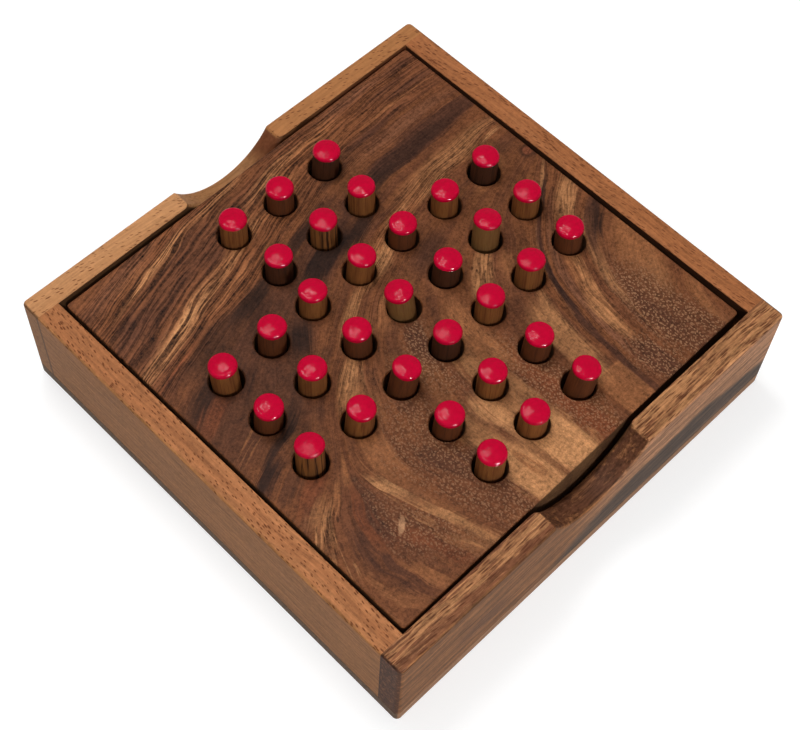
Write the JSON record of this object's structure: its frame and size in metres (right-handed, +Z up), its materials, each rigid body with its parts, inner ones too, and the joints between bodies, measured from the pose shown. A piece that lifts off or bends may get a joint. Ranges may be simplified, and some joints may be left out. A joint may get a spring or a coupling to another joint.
{
  "type": "peg solitaire board",
  "caption": "Square wooden tray with thumb scoops that holds a loose drilled board of painted pegs, for the peg solitaire game, with a peg store under the board.",
  "frame": {"origin": "middle of the underside of the base", "axes": "+Z up; +X along the two scooped rails; +Y from the front scooped rail to the back scooped rail"},
  "size_m": [0.15, 0.148, 0.0433],
  "materials": {
    "light_rail_wood": "satin oiled",
    "rail_wood": "satin oiled",
    "striped_rail_wood": "satin oiled",
    "base_wood": "satin oiled",
    "ledge_wood": "plain sawn",
    "board_wood": "satin oiled",
    "peg_wood": "plain turned",
    "peg_paint": "thick gloss paint"
  },
  "bodies": {
    "tray": {"base_sheet": "base_wood", "front_rail": "striped_rail_wood", "back_rail": "light_rail_wood", "left_rail": "rail_wood", "right_rail": "rail_wood", "left_ledge": "ledge_wood", "right_ledge": "ledge_wood"},
    "loose_board": {"loose_board": "board_wood"},
    "peg_01": {"peg_01": "peg_wood"},
    "peg_02": {"peg_02": "peg_wood"},
    "peg_03": {"peg_03": "peg_wood"},
    "peg_04": {"peg_04": "peg_wood"},
    "peg_05": {"peg_05": "peg_wood"},
    "peg_06": {"peg_06": "peg_wood"},
    "peg_07": {"peg_07": "peg_wood"},
    "peg_08": {"peg_08": "peg_wood"},
    "peg_09": {"peg_09": "peg_wood"},
    "peg_10": {"peg_10": "peg_wood"},
    "peg_11": {"peg_11": "peg_wood"},
    "peg_12": {"peg_12": "peg_wood"},
    "peg_13": {"peg_13": "peg_wood"},
    "peg_14": {"peg_14": "peg_wood"},
    "peg_15": {"peg_15": "peg_wood"},
    "peg_16": {"peg_16": "peg_wood"},
    "peg_17": {"peg_17": "peg_wood"},
    "peg_18": {"peg_18": "peg_wood"},
    "peg_19": {"peg_19": "peg_wood"},
    "peg_20": {"peg_20": "peg_wood"},
    "peg_21": {"peg_21": "peg_wood"},
    "peg_22": {"peg_22": "peg_wood"},
    "peg_23": {"peg_23": "peg_wood"},
    "peg_24": {"peg_24": "peg_wood"},
    "peg_25": {"peg_25": "peg_wood"},
    "peg_26": {"peg_26": "peg_wood"},
    "peg_27": {"peg_27": "peg_wood"},
    "peg_28": {"peg_28": "peg_wood"},
    "peg_29": {"peg_29": "peg_wood"},
    "peg_30": {"peg_30": "peg_wood"},
    "peg_31": {"peg_31": "peg_wood"},
    "peg_32": {"peg_32": "peg_wood"},
    "peg_33": {"peg_33": "peg_wood"}
  },
  "joints": [
    {"name": "board_lift", "type": "slide", "parent": "tray", "child": "loose_board", "axis": [0, 0, 1], "range_m": [0, 0.04]},
    {"name": "peg_01_lift", "type": "slide", "parent": "loose_board", "child": "peg_01", "axis": [0, 0, 1], "range_m": [0, 0.025]},
    {"name": "peg_02_lift", "type": "slide", "parent": "loose_board", "child": "peg_02", "axis": [-0.0337, -0.0337, 0.9989], "range_m": [0, 0.025]},
    {"name": "peg_03_lift", "type": "slide", "parent": "loose_board", "child": "peg_03", "axis": [0.0337, -0.0337, 0.9989], "range_m": [0, 0.025]},
    {"name": "peg_04_lift", "type": "slide", "parent": "loose_board", "child": "peg_04", "axis": [0, 0, 1], "range_m": [0, 0.025]},
    {"name": "peg_05_lift", "type": "slide", "parent": "loose_board", "child": "peg_05", "axis": [0, 0.0338, 0.9994], "range_m": [0, 0.025]},
    {"name": "peg_06_lift", "type": "slide", "parent": "loose_board", "child": "peg_06", "axis": [0, 0.0338, 0.9994], "range_m": [0, 0.025]},
    {"name": "peg_07_lift", "type": "slide", "parent": "loose_board", "child": "peg_07", "axis": [-0.0337, 0.0337, 0.9989], "range_m": [0, 0.025]},
    {"name": "peg_08_lift", "type": "slide", "parent": "loose_board", "child": "peg_08", "axis": [0.0338, 0, 0.9994], "range_m": [0, 0.025]},
    {"name": "peg_09_lift", "type": "slide", "parent": "loose_board", "child": "peg_09", "axis": [0, 0, 1], "range_m": [0, 0.025]},
    {"name": "peg_10_lift", "type": "slide", "parent": "loose_board", "child": "peg_10", "axis": [0.0337, -0.0337, 0.9989], "range_m": [0, 0.025]},
    {"name": "peg_11_lift", "type": "slide", "parent": "loose_board", "child": "peg_11", "axis": [-0.0337, -0.0337, 0.9989], "range_m": [0, 0.025]},
    {"name": "peg_12_lift", "type": "slide", "parent": "loose_board", "child": "peg_12", "axis": [-0.0338, 0, 0.9994], "range_m": [0, 0.025]},
    {"name": "peg_13_lift", "type": "slide", "parent": "loose_board", "child": "peg_13", "axis": [0, 0, 1], "range_m": [0, 0.025]},
    {"name": "peg_14_lift", "type": "slide", "parent": "loose_board", "child": "peg_14", "axis": [0, -0.0674, 0.9977], "range_m": [0, 0.025]},
    {"name": "peg_15_lift", "type": "slide", "parent": "loose_board", "child": "peg_15", "axis": [0, 0, 1], "range_m": [0, 0.025]},
    {"name": "peg_16_lift", "type": "slide", "parent": "loose_board", "child": "peg_16", "axis": [-0.0337, 0.0337, 0.9989], "range_m": [0, 0.025]},
    {"name": "peg_17_lift", "type": "slide", "parent": "loose_board", "child": "peg_17", "axis": [-0.0804, 0.1005, 0.9917], "range_m": [0, 0.025]},
    {"name": "peg_18_lift", "type": "slide", "parent": "loose_board", "child": "peg_18", "axis": [0, -0.0338, 0.9994], "range_m": [0, 0.025]},
    {"name": "peg_19_lift", "type": "slide", "parent": "loose_board", "child": "peg_19", "axis": [0.0673, 0.0673, 0.9955], "range_m": [0, 0.025]},
    {"name": "peg_20_lift", "type": "slide", "parent": "loose_board", "child": "peg_20", "axis": [-0.0338, 0, 0.9994], "range_m": [0, 0.025]},
    {"name": "peg_21_lift", "type": "slide", "parent": "loose_board", "child": "peg_21", "axis": [0.0337, 0.0674, 0.9972], "range_m": [0, 0.025]},
    {"name": "peg_22_lift", "type": "slide", "parent": "loose_board", "child": "peg_22", "axis": [0.0337, -0.0337, 0.9989], "range_m": [0, 0.025]},
    {"name": "peg_23_lift", "type": "slide", "parent": "loose_board", "child": "peg_23", "axis": [0.1008, -0.0336, 0.9943], "range_m": [0, 0.025]},
    {"name": "peg_24_lift", "type": "slide", "parent": "loose_board", "child": "peg_24", "axis": [0, 0, 1], "range_m": [0, 0.025]},
    {"name": "peg_25_lift", "type": "slide", "parent": "loose_board", "child": "peg_25", "axis": [0, 0, 1], "range_m": [0, 0.025]},
    {"name": "peg_26_lift", "type": "slide", "parent": "loose_board", "child": "peg_26", "axis": [0.0337, 0.0337, 0.9989], "range_m": [0, 0.025]},
    {"name": "peg_27_lift", "type": "slide", "parent": "loose_board", "child": "peg_27", "axis": [-0.0674, 0, 0.9977], "range_m": [0, 0.025]},
    {"name": "peg_28_lift", "type": "slide", "parent": "loose_board", "child": "peg_28", "axis": [-0.0337, -0.0674, 0.9972], "range_m": [0, 0.025]},
    {"name": "peg_29_lift", "type": "slide", "parent": "loose_board", "child": "peg_29", "axis": [0, 0, 1], "range_m": [0, 0.025]},
    {"name": "peg_30_lift", "type": "slide", "parent": "loose_board", "child": "peg_30", "axis": [0, -0.0338, 0.9994], "range_m": [0, 0.025]},
    {"name": "peg_31_lift", "type": "slide", "parent": "loose_board", "child": "peg_31", "axis": [0, 0, 1], "range_m": [0, 0.025]},
    {"name": "peg_32_lift", "type": "slide", "parent": "loose_board", "child": "peg_32", "axis": [-0.0337, -0.0337, 0.9989], "range_m": [0, 0.025]},
    {"name": "peg_33_lift", "type": "slide", "parent": "loose_board", "child": "peg_33", "axis": [0.1008, -0.0336, 0.9943], "range_m": [0, 0.025]}
  ]
}
